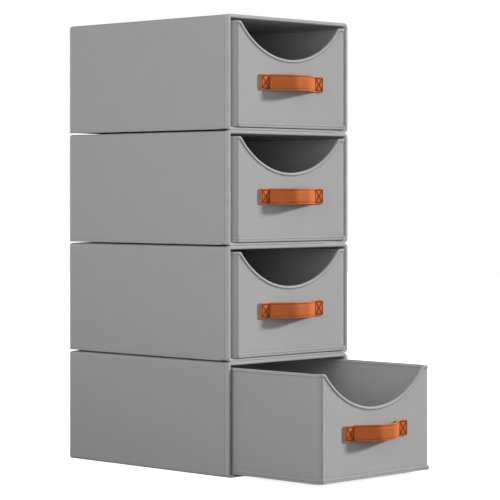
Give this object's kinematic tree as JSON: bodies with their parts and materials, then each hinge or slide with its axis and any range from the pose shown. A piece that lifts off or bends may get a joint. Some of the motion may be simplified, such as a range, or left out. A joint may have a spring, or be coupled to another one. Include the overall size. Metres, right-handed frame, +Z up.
{
  "type": "stackable storage drawers",
  "caption": "Tower of stacked grey cloth-covered storage units, each an open-fronted sleeve with a sliding drawer that has a scooped front and a tan strap handle.",
  "frame": {"origin": "centre of the sleeves' footprint on the floor", "axes": "+Z up, -Y the way the drawers open, +X to the right of someone facing the front"},
  "size_m": [0.3, 0.6228, 0.7769],
  "materials": {
    "grey_cloth": "fine plain-weave cloth, matt",
    "binding_tape": "folded and sewn cloth tape, matt",
    "fibre_board": "raw pressed board, hidden in the cloth",
    "tan_leather": "smooth tan leather with sewn edges"
  },
  "bodies": {
    "unit_1_case": {"unit_1_case_cover": "grey_cloth", "unit_1_case_front_binding": "binding_tape", "unit_1_case_base_panel": "grey_cloth", "unit_1_case_back_panel": "grey_cloth", "unit_1_case_top_board": "fibre_board", "unit_1_case_left_board": "fibre_board", "unit_1_case_right_board": "fibre_board"},
    "unit_1_drawer": {"unit_1_drawer_cover": "grey_cloth", "unit_1_drawer_rim_binding": "binding_tape", "unit_1_drawer_front_board": "fibre_board", "unit_1_drawer_back_board": "fibre_board", "unit_1_drawer_left_board": "fibre_board", "unit_1_drawer_right_board": "fibre_board", "unit_1_drawer_base_board": "fibre_board", "unit_1_drawer_handle": "tan_leather"},
    "unit_2_case": {"unit_2_case_cover": "grey_cloth", "unit_2_case_front_binding": "binding_tape", "unit_2_case_base_panel": "grey_cloth", "unit_2_case_back_panel": "grey_cloth", "unit_2_case_top_board": "fibre_board", "unit_2_case_left_board": "fibre_board", "unit_2_case_right_board": "fibre_board"},
    "unit_2_drawer": {"unit_2_drawer_cover": "grey_cloth", "unit_2_drawer_rim_binding": "binding_tape", "unit_2_drawer_front_board": "fibre_board", "unit_2_drawer_back_board": "fibre_board", "unit_2_drawer_left_board": "fibre_board", "unit_2_drawer_right_board": "fibre_board", "unit_2_drawer_base_board": "fibre_board", "unit_2_drawer_handle": "tan_leather"},
    "unit_3_case": {"unit_3_case_cover": "grey_cloth", "unit_3_case_front_binding": "binding_tape", "unit_3_case_base_panel": "grey_cloth", "unit_3_case_back_panel": "grey_cloth", "unit_3_case_top_board": "fibre_board", "unit_3_case_left_board": "fibre_board", "unit_3_case_right_board": "fibre_board"},
    "unit_3_drawer": {"unit_3_drawer_cover": "grey_cloth", "unit_3_drawer_rim_binding": "binding_tape", "unit_3_drawer_front_board": "fibre_board", "unit_3_drawer_back_board": "fibre_board", "unit_3_drawer_left_board": "fibre_board", "unit_3_drawer_right_board": "fibre_board", "unit_3_drawer_base_board": "fibre_board", "unit_3_drawer_handle": "tan_leather"},
    "unit_4_case": {"unit_4_case_cover": "grey_cloth", "unit_4_case_front_binding": "binding_tape", "unit_4_case_base_panel": "grey_cloth", "unit_4_case_back_panel": "grey_cloth", "unit_4_case_top_board": "fibre_board", "unit_4_case_left_board": "fibre_board", "unit_4_case_right_board": "fibre_board"},
    "unit_4_drawer": {"unit_4_drawer_cover": "grey_cloth", "unit_4_drawer_rim_binding": "binding_tape", "unit_4_drawer_front_board": "fibre_board", "unit_4_drawer_back_board": "fibre_board", "unit_4_drawer_left_board": "fibre_board", "unit_4_drawer_right_board": "fibre_board", "unit_4_drawer_base_board": "fibre_board", "unit_4_drawer_handle": "tan_leather"}
  },
  "joints": [
    {"name": "unit_1_drawer_slide", "type": "slide", "parent": "unit_1_case", "child": "unit_1_drawer", "axis": [0, -1, 0], "range_m": [-0.191, 0.109]},
    {"name": "unit_2_lift", "type": "slide", "parent": "unit_1_case", "child": "unit_2_case", "axis": [0, 0, 1], "range_m": [0, 0.12]},
    {"name": "unit_2_drawer_slide", "type": "slide", "parent": "unit_2_case", "child": "unit_2_drawer", "axis": [0, -1, 0], "range_m": [0, 0.3]},
    {"name": "unit_3_lift", "type": "slide", "parent": "unit_2_case", "child": "unit_3_case", "axis": [0, 0, 1], "range_m": [0, 0.12]},
    {"name": "unit_3_drawer_slide", "type": "slide", "parent": "unit_3_case", "child": "unit_3_drawer", "axis": [0, -1, 0], "range_m": [0, 0.3]},
    {"name": "unit_4_lift", "type": "slide", "parent": "unit_3_case", "child": "unit_4_case", "axis": [0, 0, 1], "range_m": [0, 0.12]},
    {"name": "unit_4_drawer_slide", "type": "slide", "parent": "unit_4_case", "child": "unit_4_drawer", "axis": [0, -1, 0], "range_m": [0, 0.3]}
  ]
}
